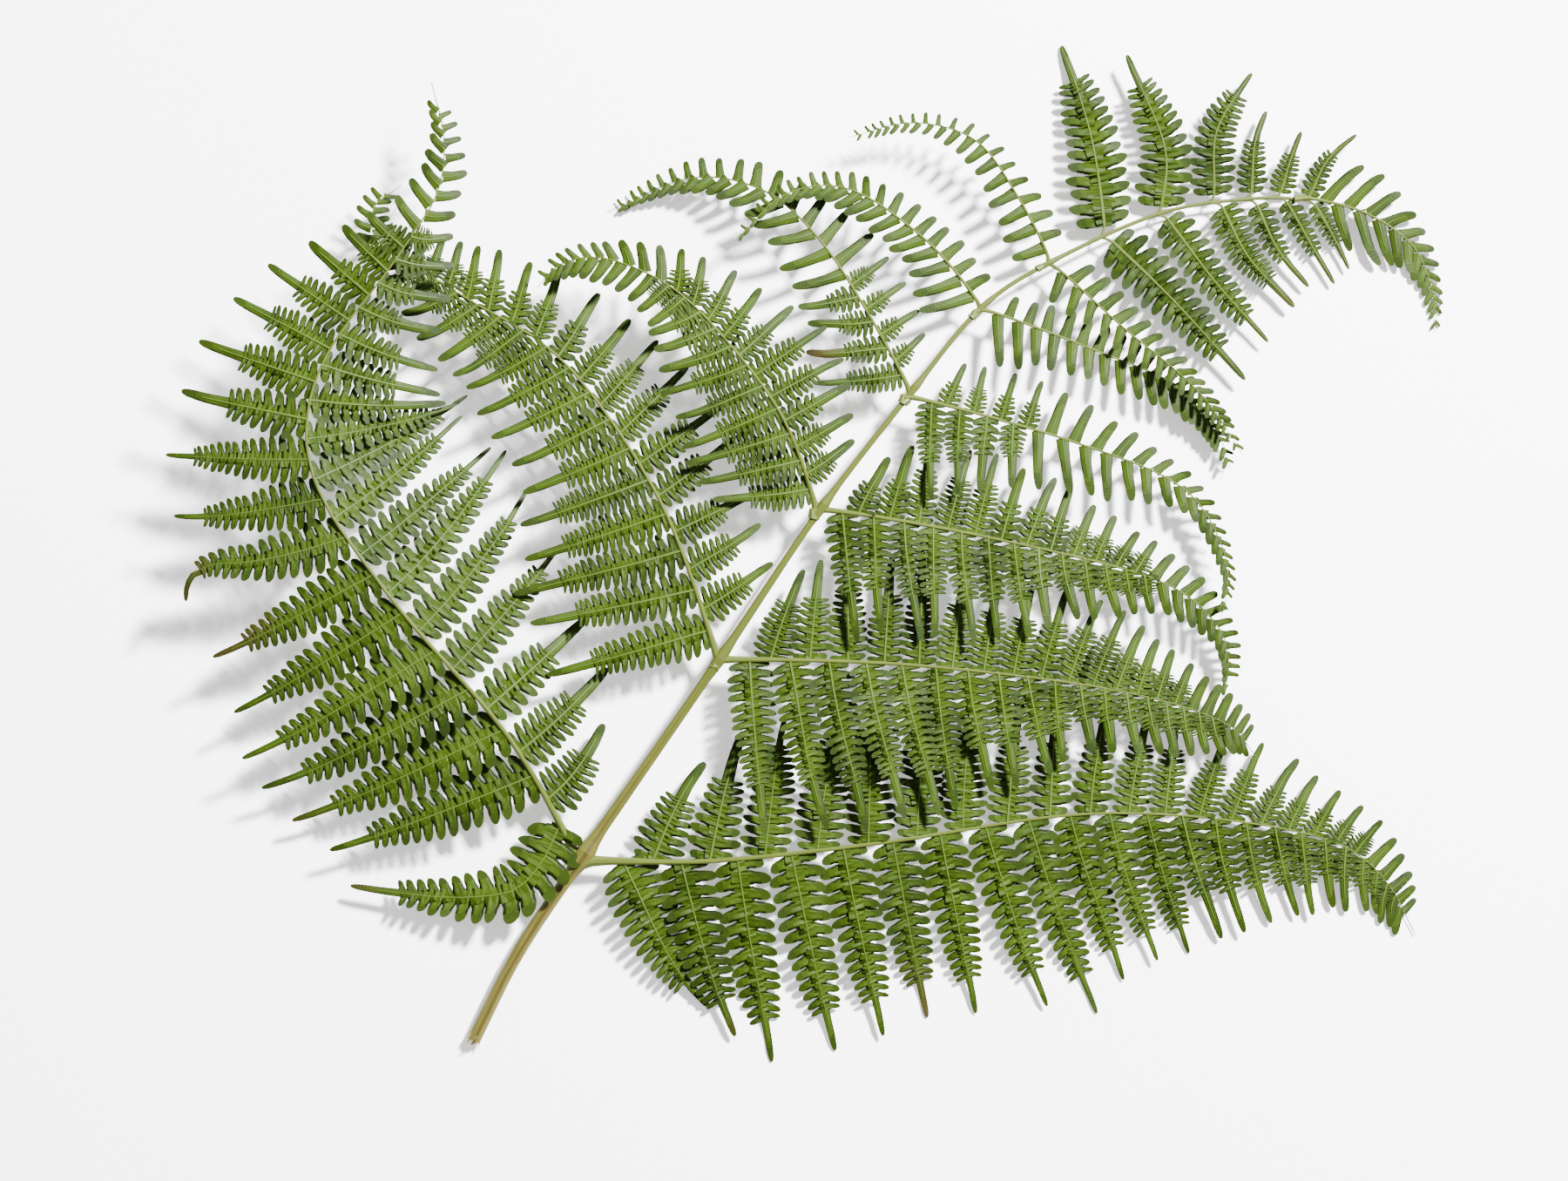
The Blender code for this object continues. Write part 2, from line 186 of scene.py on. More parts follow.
def makeLeafMaterial(look):
    # living fern blade: thin waxy cuticle over mottled green, so a broad soft gloss on each
    # convex lobe, a paler groove over its vein and a dark line of painted shade where the margin rolls
    # under
    mat, tree = newMaterial("bracken_blade")
    coords = addNode(tree, "ShaderNodeTexCoord", {})["Object"]
    patches = addNode(tree, "ShaderNodeTexNoise", {
        "Vector": coords, "Scale": 1 / (look["patch"] * mm), "Detail": 3.0})[0]
    grain = addNode(tree, "ShaderNodeTexNoise", {
        "Vector": coords, "Scale": 1 / (look["grain"] * mm), "Detail": 2.0})[0]
    edge, reach, tint, age, far = (
        addNode(tree, "ShaderNodeAttribute", {"attribute_name": name})["Fac"]
        for name in ("edge", "reach", "tint", "age", "far"))
    mottle = addNode(tree, "ShaderNodeMapRange", {
        "Value": patches, "From Min": 0.35, "From Max": 0.65, "To Min": -0.3, "To Max": 0.3})[0]
    tone = addNode(tree, "ShaderNodeMath", {"operation": "ADD", 0: mottle, 1: tint})[0]
    paler = addNode(tree, "ShaderNodeMix", {
        "data_type": "RGBA", 0: tone, 6: linear(look["green"]), 7: linear(look["lightGreen"])})[2]
    darker = addNode(tree, "ShaderNodeMapRange", {
        "Value": tone, "From Min": 0.1, "From Max": -0.5, "To Min": 0.0, "To Max": 1.0})[0]
    blade = addNode(tree, "ShaderNodeMix", {
        "data_type": "RGBA", 0: darker, 6: paler, 7: linear(look["deepGreen"])})[2]
    grooveShare = addNode(tree, "ShaderNodeMapRange", {
        "Value": edge, "From Min": 0.22, "From Max": 0.0, "To Min": 0.0, "To Max": 0.6})[0]
    grooved = addNode(tree, "ShaderNodeMix", {
        "data_type": "RGBA", 0: grooveShare, 6: blade, 7: linear(look["groove"])})[2]
    # painted shade along the rolled-under rim: the outer share of each lobe's width darkens to the
    # margin colour
    marginShadeShare = addNode(tree, "ShaderNodeMapRange", {
        "Value": edge, "From Min": 0.78, "From Max": 1.0, "To Min": 0.0, "To Max": 0.85})[0]
    marginShaded = addNode(tree, "ShaderNodeMix", {
        "data_type": "RGBA", 0: marginShadeShare, 6: grooved, 7: linear(look["marginShadeColour"])})[2]
    # old tips and patches dry from the far end, through rust to dark brown
    spread = addNode(tree, "ShaderNodeMath", {
        "operation": "MULTIPLY_ADD", 0: patches, 1: 0.6, 2: far})[0]
    dryness = addNode(tree, "ShaderNodeMath", {"operation": "MULTIPLY", 0: age, 1: spread})[0]
    rustShare = addNode(tree, "ShaderNodeMapRange", {
        "Value": dryness, "From Min": 0.8, "From Max": 1.1})[0]
    rusty = addNode(tree, "ShaderNodeMix", {
        "data_type": "RGBA", 0: rustShare, 6: marginShaded, 7: linear(look["rust"])})[2]
    brownShare = addNode(tree, "ShaderNodeMapRange", {
        "Value": dryness, "From Min": 1.05, "From Max": 1.3})[0]
    colour = addNode(tree, "ShaderNodeMix", {
        "data_type": "RGBA", 0: brownShare, 6: rusty, 7: linear(look["brown"])})[2]
    slant = addNode(tree, "ShaderNodeMath", {
        "operation": "MULTIPLY_ADD", 0: edge, 1: -0.25, 2: reach})[0]
    waves = addNode(tree, "ShaderNodeMath", {
        "operation": "SINE",
        0: addNode(tree, "ShaderNodeMath", {
            "operation": "MULTIPLY", 0: slant, 1: 2 * math.pi * look["veins"]})[0]})[0]
    height = addNode(tree, "ShaderNodeMath", {
        "operation": "MULTIPLY_ADD", 0: waves, 1: 0.25, 2: grain})[0]
    bump = addNode(tree, "ShaderNodeBump", {
        "Height": height, "Strength": 0.3, "Distance": 0.0002})[0]
    gloss = addNode(tree, "ShaderNodeMapRange", {
        "Value": grain, "From Min": 0.3, "From Max": 0.7, "To Min": 0.42, "To Max": 0.6})[0]
    shader = addNode(tree, "ShaderNodeBsdfPrincipled", {
        "Base Color": colour, "Roughness": gloss, "Normal": bump, "IOR": 1.45,
        "Specular IOR Level": 0.1})[0]
    addNode(tree, "ShaderNodeOutputMaterial", {"Surface": shader})
    return mat


ribLooks = {
    "pinnule_rib": {"pale": "#3e4f19", "olive": "#324311", "shade": "#22310a",
                    "around": 3.0, "run": 0.08},
    "pinna_rib": {"pale": "#444e19", "olive": "#394212", "shade": "#2c2f0b",
                  "around": 4.0, "run": 0.06},
}


def makeRibMaterial(name, look):
    # juicy green rib: smooth skin with faint lengthwise streaks and a little gloss
    mat, tree = newMaterial(name)
    around, run = (addNode(tree, "ShaderNodeAttribute", {"attribute_name": n})["Fac"]
                   for n in ("around", "run"))
    streakAt = addNode(tree, "ShaderNodeCombineXYZ", {
        0: addNode(tree, "ShaderNodeMath", {"operation": "MULTIPLY", 0: around, 1: look["around"]})[0],
        1: addNode(tree, "ShaderNodeMath", {"operation": "MULTIPLY", 0: run, 1: look["run"]})[0]})[0]
    streaks = addNode(tree, "ShaderNodeTexNoise", {
        "Vector": streakAt, "Scale": 1.6, "Detail": 3.0})[0]
    paleShare = addNode(tree, "ShaderNodeMapRange", {
        "Value": streaks, "From Min": 0.35, "From Max": 0.65})[0]
    pale = addNode(tree, "ShaderNodeMix", {
        "data_type": "RGBA", 0: paleShare, 6: linear(look["olive"]), 7: linear(look["pale"])})[2]
    shadeShare = addNode(tree, "ShaderNodeMapRange", {
        "Value": streaks, "From Min": 0.6, "From Max": 0.75, "To Max": 0.6})[0]
    colour = addNode(tree, "ShaderNodeMix", {
        "data_type": "RGBA", 0: shadeShare, 6: pale, 7: linear(look["shade"])})[2]
    shader = addNode(tree, "ShaderNodeBsdfPrincipled", {
        "Base Color": colour, "Roughness": 0.45, "IOR": 1.45,
        "Specular IOR Level": 0.2})[0]
    addNode(tree, "ShaderNodeOutputMaterial", {"Surface": shader})
    return mat


stalkLook = {"ochre": "#443f12", "straw": "#544f20", "olive": "#3d4613", "groove": "#2a200a",
             "fibre": "#8f805c"}


def makeStalkMaterial(look):
    # tough stalk skin: satin, ridged lengthwise, browned along its groove near the foot
    mat, tree = newMaterial("stalk_skin")
    around, run = (addNode(tree, "ShaderNodeAttribute", {"attribute_name": n})["Fac"]
                   for n in ("around", "run"))
    streakAt = addNode(tree, "ShaderNodeCombineXYZ", {
        0: addNode(tree, "ShaderNodeMath", {"operation": "MULTIPLY", 0: around, 1: 7.0})[0],
        1: addNode(tree, "ShaderNodeMath", {"operation": "MULTIPLY", 0: run, 1: 0.05})[0]})[0]
    streaks = addNode(tree, "ShaderNodeTexNoise", {
        "Vector": streakAt, "Scale": 2.2, "Detail": 4.0})[0]
    strawShare = addNode(tree, "ShaderNodeMapRange", {
        "Value": streaks, "From Min": 0.3, "From Max": 0.7})[0]
    skin = addNode(tree, "ShaderNodeMix", {
        "data_type": "RGBA", 0: strawShare, 6: linear(look["ochre"]), 7: linear(look["straw"])})[2]
    greenShare = addNode(tree, "ShaderNodeMapRange", {
        "Value": run, "From Min": 50.0, "From Max": 150.0, "To Max": 0.9})[0]
    greener = addNode(tree, "ShaderNodeMix", {
        "data_type": "RGBA", 0: greenShare, 6: skin, 7: linear(look["olive"])})[2]
    off = addNode(tree, "ShaderNodeMath", {
        "operation": "ABSOLUTE",
        0: addNode(tree, "ShaderNodeMath", {"operation": "SUBTRACT", 0: around, 1: 0.27})[0]})[0]
    line = addNode(tree, "ShaderNodeMapRange", {
        "Value": off, "From Min": 0.06, "From Max": 0.02})[0]
    fade = addNode(tree, "ShaderNodeMapRange", {
        "Value": run, "From Min": 180.0, "From Max": 70.0, "To Min": 0.2, "To Max": 0.7})[0]
    grooveShare = addNode(tree, "ShaderNodeMath", {"operation": "MULTIPLY", 0: line, 1: fade})[0]
    colour = addNode(tree, "ShaderNodeMix", {
        "data_type": "RGBA", 0: grooveShare, 6: greener, 7: linear(look["groove"])})[2]
    bump = addNode(tree, "ShaderNodeBump", {
        "Height": streaks, "Strength": 0.5, "Distance": 0.0003})[0]
    shader = addNode(tree, "ShaderNodeBsdfPrincipled", {
        "Base Color": colour, "Roughness": 0.5, "Normal": bump, "IOR": 1.45,
        "Specular IOR Level": 0.2})[0]
    addNode(tree, "ShaderNodeOutputMaterial", {"Surface": shader})
    return mat


def makePlainMaterial(name, hexColour, roughness, glow=0.0):
    mat, tree = newMaterial(name)
    shader = addNode(tree, "ShaderNodeBsdfPrincipled", {
        "Base Color": linear(hexColour), "Roughness": roughness,
        "Emission Color": linear("#ffffff"), "Emission Strength": glow})[0]
    addNode(tree, "ShaderNodeOutputMaterial", {"Surface": shader})
    return mat


bladeMat = makeLeafMaterial(leafLook)
ribMat = makeRibMaterial("pinnule_rib", ribLooks["pinnule_rib"])
costaMat = makeRibMaterial("pinna_rib", ribLooks["pinna_rib"])
stalkMat = makeStalkMaterial(stalkLook)
fibreMat = makePlainMaterial("torn_fibre", stalkLook["fibre"], 0.7)     # dry pith threads, matt
print("materials ready")


# one lobe of a pinnule, one unit wide and long, foot at the origin, pointing along +Y;
# each row is how far along it lies, its half width, and how far it leans to the pinnule's tip
lobe = {"rows": ((0.0, 0.56, 0.0), (0.06, 0.48, 0.0), (0.2, 0.41, 0.0), (0.5, 0.41, 0.03),
                 (0.78, 0.33, 0.07), (0.93, 0.2, 0.11), (1.0, 0.08, 0.13)),
        "across": 4, "roll": 0.13, "sink": 0.05, "droop": 0.05}
# the undivided blade of small pinnules and of every pinnule's tail, the same way round
strap = {"rows": ((0.0, 0.62, 0.0), (0.08, 0.50, 0.0), (0.35, 0.48, 0.0), (0.6, 0.46, 0.02),
                  (0.82, 0.40, 0.04), (0.95, 0.27, 0.06), (1.0, 0.12, 0.07)),
         "across": 4, "roll": 0.15, "sink": 0.07, "droop": 0.03}


def makeSegment(shape, name, lean=1):
    rows = shape["rows"]
    first = rows[1][0]
    bpy.ops.mesh.primitive_grid_add(x_subdivisions=shape["across"], y_subdivisions=1, size=1,
                                    location=(0, first / 2, 0), scale=(1, first, 1))
    segment = bpy.context.object
    segment.name = name
    bpy.ops.object.transform_apply(location=True, rotation=False, scale=True)
    editSelecting(segment, lambda v: v.co.y < first * 0.1)
    bpy.ops.transform.resize(value=(2 * rows[0][1], 1, 1), center_override=(0, 0, 0))
    bpy.ops.object.mode_set(mode="OBJECT")
    editSelecting(segment, lambda v: v.co.y > first * 0.9)
    bpy.ops.transform.resize(value=(2 * rows[1][1], 1, 1), center_override=(0, first, 0))
    for (y0, half0, side0), (y1, half1, side1) in zip(rows[1:], rows[2:]):
        bpy.ops.mesh.extrude_region_move(
            TRANSFORM_OT_translate={"value": (lean * (side1 - side0), y1 - y0, 0)})
        bpy.ops.transform.resize(value=(half1 / half0, 1, 1), center_override=(lean * side1, y1, 0))
    bpy.ops.object.mode_set(mode="OBJECT")
    # edge runs from 0 on the lobe's vein to 1 at its rim; it places the paler groove, the rolled rim
    # and the painted rim shade, and the tip row is held at 0.88 so the tip is only partly shaded
    edge = []
    for v in segment.data.vertices:
        row = min(rows, key=lambda r: abs(r[0] - v.co.y))
        edge.append(0.88 if row is rows[-1] else abs(v.co.x - lean * row[2]) / row[1])
    setAttribute(segment, "edge", edge)
    setAttribute(segment, "reach", [v.co.y for v in segment.data.vertices])
    for other in ("tint", "age", "far", "around", "run"):
        setAttribute(segment, other, [0.0] * len(edge))
    for test, drop in ((lambda v: edge[v.index] > 0.9, shape["roll"]),
                       (lambda v: edge[v.index] < 0.1, shape["sink"]),
                       (lambda v: v.co.y > 0.85, shape["droop"])):
        editSelecting(segment, test)
        bpy.ops.transform.translate(value=(0, 0, -drop))
        bpy.ops.object.mode_set(mode="OBJECT")
    segment.data.materials.append(bladeMat)
    return segment


# a round rod one unit long and one unit in radius along +X, for ribs and for the stalk
def makeRod(name, sides, cuts, mat, taper=1.0):
    bpy.ops.mesh.primitive_cylinder_add(vertices=sides, radius=1, depth=1, location=(0.5, 0, 0),
                                        rotation=(0, math.radians(90), 0))
    rod = bpy.context.object
    rod.name = name
    bpy.ops.object.transform_apply(location=True, rotation=True, scale=True)
    ends = [v.co.x for v in rod.data.vertices]
    editSelecting(rod, lambda e: abs(ends[e.vertices[0]] - ends[e.vertices[1]]) > 0.5, "EDGE")
    bpy.ops.mesh.subdivide(number_cuts=cuts)
    bpy.ops.object.mode_set(mode="OBJECT")
    for v in rod.data.vertices:
        thin = 1 + (taper - 1) * v.co.x
        v.co.y, v.co.z = v.co.y * thin, v.co.z * thin
    setAttribute(rod, "around", [math.atan2(v.co.z, v.co.y) / (2 * math.pi) % 1.0
                                 for v in rod.data.vertices])
    for other in ("edge", "reach", "tint", "age", "far", "run"):
        setAttribute(rod, other, [v.co.x if other == "far" else 0.0 for v in rod.data.vertices])
    rod.data.materials.append(mat)
    return rod


# pinnule forms in millimetres: length, half width, lobe pairs, where the undivided tail begins
# and its half width, how long the last lobes are beside the longest, how late they shorten,
# and how far the lobes lean to the tip at the foot and at the end
pinnuleForms = {
    "long": {"length": 70, "half": 8.4, "pairs": 15, "tail": 0.87, "tailHalf": 1.35,
             "lastLobe": 0.34, "fade": 1.8, "lean": (4, 16), "seeds": (3, 8, 21)},
    "broad": {"length": 66, "half": 7.0, "pairs": 13, "tail": 0.87, "tailHalf": 1.3,
              "lastLobe": 0.5, "fade": 2.4, "lean": (6, 14), "seeds": (9, 27, 33)},
    "medium": {"length": 50, "half": 4.6, "pairs": 14, "tail": 0.8, "tailHalf": 1.3,
               "lastLobe": 0.52, "fade": 2.2, "lean": (5, 14), "seeds": (5, 13, 34)},
    "short": {"length": 36, "half": 4.2, "pairs": 9, "tail": 0.72, "tailHalf": 1.3,
              "lastLobe": 0.55, "fade": 2.2, "lean": (6, 14), "seeds": (2, 17)},
    "small": {"length": 20, "half": 3.3, "pairs": 6, "tail": 0.62, "tailHalf": 1.35,
              "lastLobe": 0.55, "fade": 1.6, "lean": (10, 18), "seeds": (6, 15)},
}
undividedForm = {"length": 18, "half": 2.1}


def addLobe(source, x, side, width, length, lean, tilt, lift, tint):
    piece = copyPiece(source)
    piece.scale = (width, length, width)
    turn = math.radians(-lean) if side > 0 else math.radians(180 + lean)
    piece.rotation_euler = (math.radians(tilt), 0, turn)
    piece.location = (x, 0.2 * side, lift)
    setAttribute(piece, "tint", [tint] * len(piece.data.vertices))
    return piece


def makeLobedPinnule(form, seed, name):
    rng = random.Random(seed)
    span, half, pairs, tail = form["length"], form["half"], form["pairs"], form["tail"]
    pieces = []
    pairs += rng.randint(-1, 1)
    places = [0.02 + (tail - 0.02) * (1 - (1 - i / pairs) ** 1.25) for i in range(pairs)]
    for i, f in enumerate(places):
        gap = ((places[i + 1] if i + 1 < pairs else tail) - f) * span
        for side in (1, -1):
            x = f * span + (gap * 0.3 if side < 0 else 0)
            s = f / tail
            fill = min(1.0, 0.78 + 2.4 * s) * (1 - (1 - form["lastLobe"]) * s ** form["fade"])
            length = half * fill * rng.uniform(0.93, 1.06)
            lean = blend(form["lean"], s) + rng.uniform(-4, 4)
            pieces.append(addLobe(lobeSources[side], x, side, gap, length, lean,
                                  rng.uniform(-10, 5), rng.uniform(-0.1, 0.1),
                                  rng.uniform(-0.08, 0.08)))
    start = span * (tail - 0.05)
    end = addLobe(strapSource, start, 1, form["tailHalf"] * 2, span - start, 90, 0, 0, 0)
    end.location[1] = 0
    pieces.append(end)
    return finishPinnule(pieces, span, half, name, 0.38)


def makeUndividedPinnule(form, name):
    span, half = form["length"], form["half"]
    blade = addLobe(strapSource, 0, 1, half * 2, span, 90, 0, 0, 0)
    blade.location[1] = 0
    return finishPinnule([blade], span, half, name, 0.26)


pinnuleBuild = {"thickness": 0.22, "ribShare": 0.96, "ribLift": 0.04, "smoothAngle": 50}   # mm, degrees


def finishPinnule(pieces, span, half, name, ribRadius):
    blade = joinPieces(pieces, name)
    bpy.ops.object.transform_apply(location=True, rotation=True, scale=True)
    wall = blade.modifiers.new("Thickness", "SOLIDIFY")
    wall.thickness = pinnuleBuild["thickness"]
    wall.offset = 0.0
    applyModifiers(blade)
    rib = copyPiece(ribSource)
    rib.scale = (span * pinnuleBuild["ribShare"], ribRadius, ribRadius)
    rib.location = (0, 0, pinnuleBuild["ribLift"])
    pinnule = joinPieces([blade, rib], name)
    bpy.ops.object.transform_apply(location=True, rotation=True, scale=True)
    for v in pinnule.data.vertices:      # unit length and unit half width, to be laid along a guide
        v.co = (max(v.co.x, 0.0) / span, v.co.y / half, v.co.z / half)
    setAttribute(pinnule, "far", [v.co.x for v in pinnule.data.vertices])
    makeActive(pinnule)
    bpy.ops.object.shade_smooth_by_angle(angle=math.radians(pinnuleBuild["smoothAngle"]))
    pinnule.hide_render = True
    return pinnule


clearSelection()
lobeSources = {1: makeSegment(lobe, "lobeOnLeft", 1), -1: makeSegment(lobe, "lobeOnRight", -1)}
strapSource = makeSegment(strap, "strapSource")
ribSource = makeRod("ribSource", 6, 12, ribMat, 0.35)
rodSource = makeRod("rodSource", 10, 60, costaMat)
stalkSource = makeRod("stalkSource", 20, 220, stalkMat)
strandSource = makeRod("strandSource", 5, 4, fibreMat, 0.4)
masters = {}
for kind, form in pinnuleForms.items():
    masters[kind] = [makeLobedPinnule(form, seed, "%sPinnule%d" % (kind, seed))
                     for seed in form["seeds"]]
masters["undivided"] = [makeUndividedPinnule(undividedForm, "undividedPinnule")]
print("pinnule forms ready:", {k: len(v[0].data.polygons) for k, v in masters.items()})


# bends a copy of a unit-long piece along a route, stretched to its length
def layAlong(source, points, radii, tilts=None):
    clearSelection()
    bpy.ops.curve.primitive_bezier_curve_add(location=(0, 0, 0))
    guide = bpy.context.object
    guide.data.twist_mode = "Z_UP"
    guide.data.use_stretch = guide.data.use_deform_bounds = True
    knots = guide.data.splines[0].bezier_points
    knots.add(len(points) - 2)
    for i, knot in enumerate(knots):
        knot.co = place(points[i])
        knot.handle_left_type = knot.handle_right_type = "AUTO"
        knot.radius = radii[i] * mm
        knot.tilt = math.radians(tilts[i]) if tilts else 0
    piece = copyPiece(source)
    piece.hide_render = False
    bend = piece.modifiers.new("Bend", "CURVE")
    bend.object = guide
    bend.deform_axis = "POS_X"
    applyModifiers(piece)
    bpy.data.objects.remove(guide, do_unlink=True)
    return piece


# rods follow the same smooth line as the pinnule feet; sizeAt gives the radius at a share of it
def layRod(source, route, sizeAt, count):
    shares = [(i / (count - 1)) ** 1.6 for i in range(count)]      # closer knots near the foot
    points = [along(route, f)[0] for f in shares]
    rod = layAlong(source, points, [sizeAt(f) for f in shares])
    total = sum(math.dist(a[:3], b[:3]) for a, b in zip(route, route[1:]))
    setAttribute(rod, "run", [f * total for f in getAttribute(rod, "far")])
    return rod


# stalk and rachis: x, y, z from the cut end to the last large pinna, then radii at even places
stalk = {
    "route": [(-109, -167, 3), (-93, -136, 5), (-68, -99, 9), (-25, -37, 13), (10, 15, 14),
              (41, 55, 13), (65, 84, 11), (89, 100, 9), (127, 117, 6), (158, 122, 5.5),
              (178, 122, 4.5)],
    "radii": (2.4, 2.1, 1.6, 1.15, 0.9, 0.7, 0.55),
    "strands": 26, "strandLength": 6.0, "strandRadii": (0.34, 0.24, 0.12),
    "cutAside": (0.86, -0.48), "cutAlong": (0.48, 0.86),      # directions at the cut end
    "knots": 120,
    # where a pair of pinnae leaves the rachis it swells: place along the route, radius, length
    "nodes": ((-71, -103, 3.7, 5), (-24, -36, 2.3, 4.5), (11.3, 15.5, 2.0, 4), (42, 57, 1.6, 3.5),
              (66, 85.5, 1.3, 3), (89, 100.5, 1.1, 3)),
}
rachis = evenRoute(stalk["route"], 500)[0]


def fromRachis(rib):
    # the rib starts on the rachis, a little below where it comes clear of it
    foot = min(rachis, key=lambda p: math.dist(p[:2], rib[0][:2]))
    k = max(rachis.index(foot) - 6, 0)
    return [tuple(rachis[k])] + [tuple(p) for p in rib]


def layPinnule(foot, tip, aside, rise, width, form, bow, rng, age=0.0, via=()):
    reach = math.hypot(tip[0] - foot[0], tip[1] - foot[1])
    ux, uy = (tip[0] - foot[0]) / reach, (tip[1] - foot[1]) / reach
    nx, ny = aside
    wave = rng.uniform(-0.02, 0.02) * reach
    sag = 0.02 * reach * rng.uniform(0.5, 1.5)
    points = []
    if via:
        corners = [foot[:2]] + list(via) + [tip]
        for i in range(7):
            s = i / 6
            x, y = smoothPoint(corners, s)
            points.append((x, y, foot[2] + rise * reach * s + sag * math.sin(math.pi * s)))
    else:
        hook = rng.uniform(-0.05, 0.07) * reach
        for s in (0.0, 0.25, 0.5, 0.75, 0.9, 1.0):
            out = (bow * 2 * s * (1 - s) * reach + wave * math.sin(math.pi * 2 * s)
                   - hook * max(s - 0.7, 0) / 0.3)
            side = (nx - ux * (nx * ux + ny * uy), ny - uy * (nx * ux + ny * uy))
            points.append((foot[0] + ux * reach * s + side[0] * out,
                           foot[1] + uy * reach * s + side[1] * out,
                           foot[2] + rise * reach * s + sag * math.sin(math.pi * s)))
    points = [(x, y, max(z, 0.6 + 0.14 * width * (1 - i / len(points))))
              for i, (x, y, z) in enumerate(points)]
    turn = rng.uniform(-7, 7)
    source = masters[form][rng.randrange(len(masters[form]))]
    piece = layAlong(source, points, [width] * len(points),
                     [turn * (1 + 0.6 * i / len(points)) for i in range(len(points))])
    tint = rng.uniform(-0.08, 0.25)
    setAttribute(piece, "tint", [t + tint for t in getAttribute(piece, "tint")])
    if age:
        setAttribute(piece, "age", [age] * len(piece.data.vertices))
    return piece


# pinnules crowd towards the end of the rib: their feet follow a square law
growth = {
    "outerShift": 0.42, "innerShift": 0.92,      # where each row starts, in gaps
    "leastGap": 2.6,              # mm; nearer than this, every second pinnule is left out
    "lastShare": 0.97,            # of the rib's length
    "longReach": 46, "shortReach": 28, "undividedReach": 13,      # mm, for choosing a form
    "undividedHalf": 1.8,         # mm, the widest half width of an undivided pinnule
    "reachRange": (0.94, 1.05), "turnRange": (-4, 4),      # share of the length, and degrees
    "riseSteps": (0, 0.03, -0.03), "riseReach": 25,      # only the longer ones rise and dip
    "bow": 0.12,
}


def pinnuleShares(spec, length, shift):
    pairs, shares = spec["pairs"], []
    for i in range(pairs - 1):
        left = 1 - (i + shift) / pairs
        gap = 2 * left / pairs * length
        if 1 - left * left < growth["lastShare"] and not (gap < growth["leastGap"] and i % 2):
            shares.append((i, 1 - left * left, max(gap, growth["leastGap"])))
    return shares


def chooseForm(spec, i, reach):
    if i >= spec["lobed"] or reach < growth["undividedReach"]:
        return "undivided"
    if reach > growth["longReach"]:
        return spec["longForm"]
    return "short" if reach > growth["shortReach"] else "small"


def growPinna(spec):
    rng = random.Random(spec["node"])
    route, length = evenRoute(spec["rib"])
    pieces = []
    for sign, key in ((spec["outerSide"], "outer"), (-spec["outerSide"], "inner")):
        row = spec[key]
        for i, f, gap in pinnuleShares(spec, length, growth[key + "Shift"]):
            foot, (dx, dy) = along(route, f)
            nx, ny = -dy * sign, dx * sign
            reach = blend(row["reach"], f) * rng.uniform(*growth["reachRange"])
            turn = math.radians(blend(row["heading"], f) + rng.uniform(*growth["turnRange"]))
            tip = (foot[0] + reach * math.cos(turn), foot[1] + reach * math.sin(turn))
            step = growth["riseSteps"][i % 3] if reach > growth["riseReach"] else 0
            rise = blend(row["rise"], f) + step
            form = chooseForm(spec, i, reach)
            width = blend(row["half"], f)
            if form == "undivided":
                width = min(growth["undividedHalf"], 0.4 * gap, reach * 0.2)
            age = spec.get("aged", {}).get((key, i), 0.0)
            via = spec.get("via", {}).get((key, i), ())
            bow = spec.get(key + "Bow", growth["bow"])
            pieces.append(layPinnule(foot, tip, (nx, ny), rise, width, form, bow, rng, age, via))

    def sizeAt(f):
        return spec["ribRadius"] * (1 - 0.82 * f) * (1 + 1.7 * math.exp(-f * 26))

    pieces.append(layRod(rodSource, evenRoute(fromRachis(spec["rib"]))[0], sizeAt, 26))
    piece = joinPieces(pieces, spec["node"].replace("pinna", "leaf").replace("frond", "leaf"))
    finishPiece(piece, spec["node"], spec.get("slot", "leaf"))


def finishPiece(piece, node, slot):
    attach(piece, "root")
    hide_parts(node)
    print(piece.name, len(piece.data.polygons), "faces")


# the six lower pinnae of each side: x, y, z of the rib, how many pinnules of a row are lobed, and for
# both rows their length, direction in degrees from the right, half width and rise, evenly from the
# foot to the end; "via" bends a pinnule through set places, and "aged" dries it towards its tip
pinnaLeft1 = {
    "node": "pinna_left_1", "outerSide": 1, "pairs": 30, "ribRadius": 0.95,
    "lobed": 40, "longForm": "long",
    "rib": [(-75, -100, 9), (-97, -61, 18), (-135, -15, 29), (-161, 27, 34), (-158, 63, 34),
            (-131, 102, 33), (-117, 130, 28), (-122, 160, 20)],
    "outer": {"reach": (73, 80, 68, 50, 38, 12, 3), "heading": (190, 208, 213, 188, 148, 130, 140),
              "half": (8.0, 7.0, 5.0, 3.0), "rise": (-0.04, -0.12, -0.10)},
    "inner": {"reach": (25, 45, 64, 56, 36, 10, 3), "heading": (62, 42, 52, 32, -20, 5, 30),
              "half": (6.2, 5.8, 4.4, 2.6), "rise": (-0.14, -0.40, -0.30)},
    "innerBow": 0.28,
    "via": {("outer", 0): ((-90, -112), (-105, -117), (-124, -117)),
            ("outer", 7): ((-176, -2), (-196, -4), (-203, -9))},
    "aged": {("outer", 6): 0.85, ("outer", 7): 0.78, ("outer", 0): 0.72, ("outer", 2): 0.72},
}
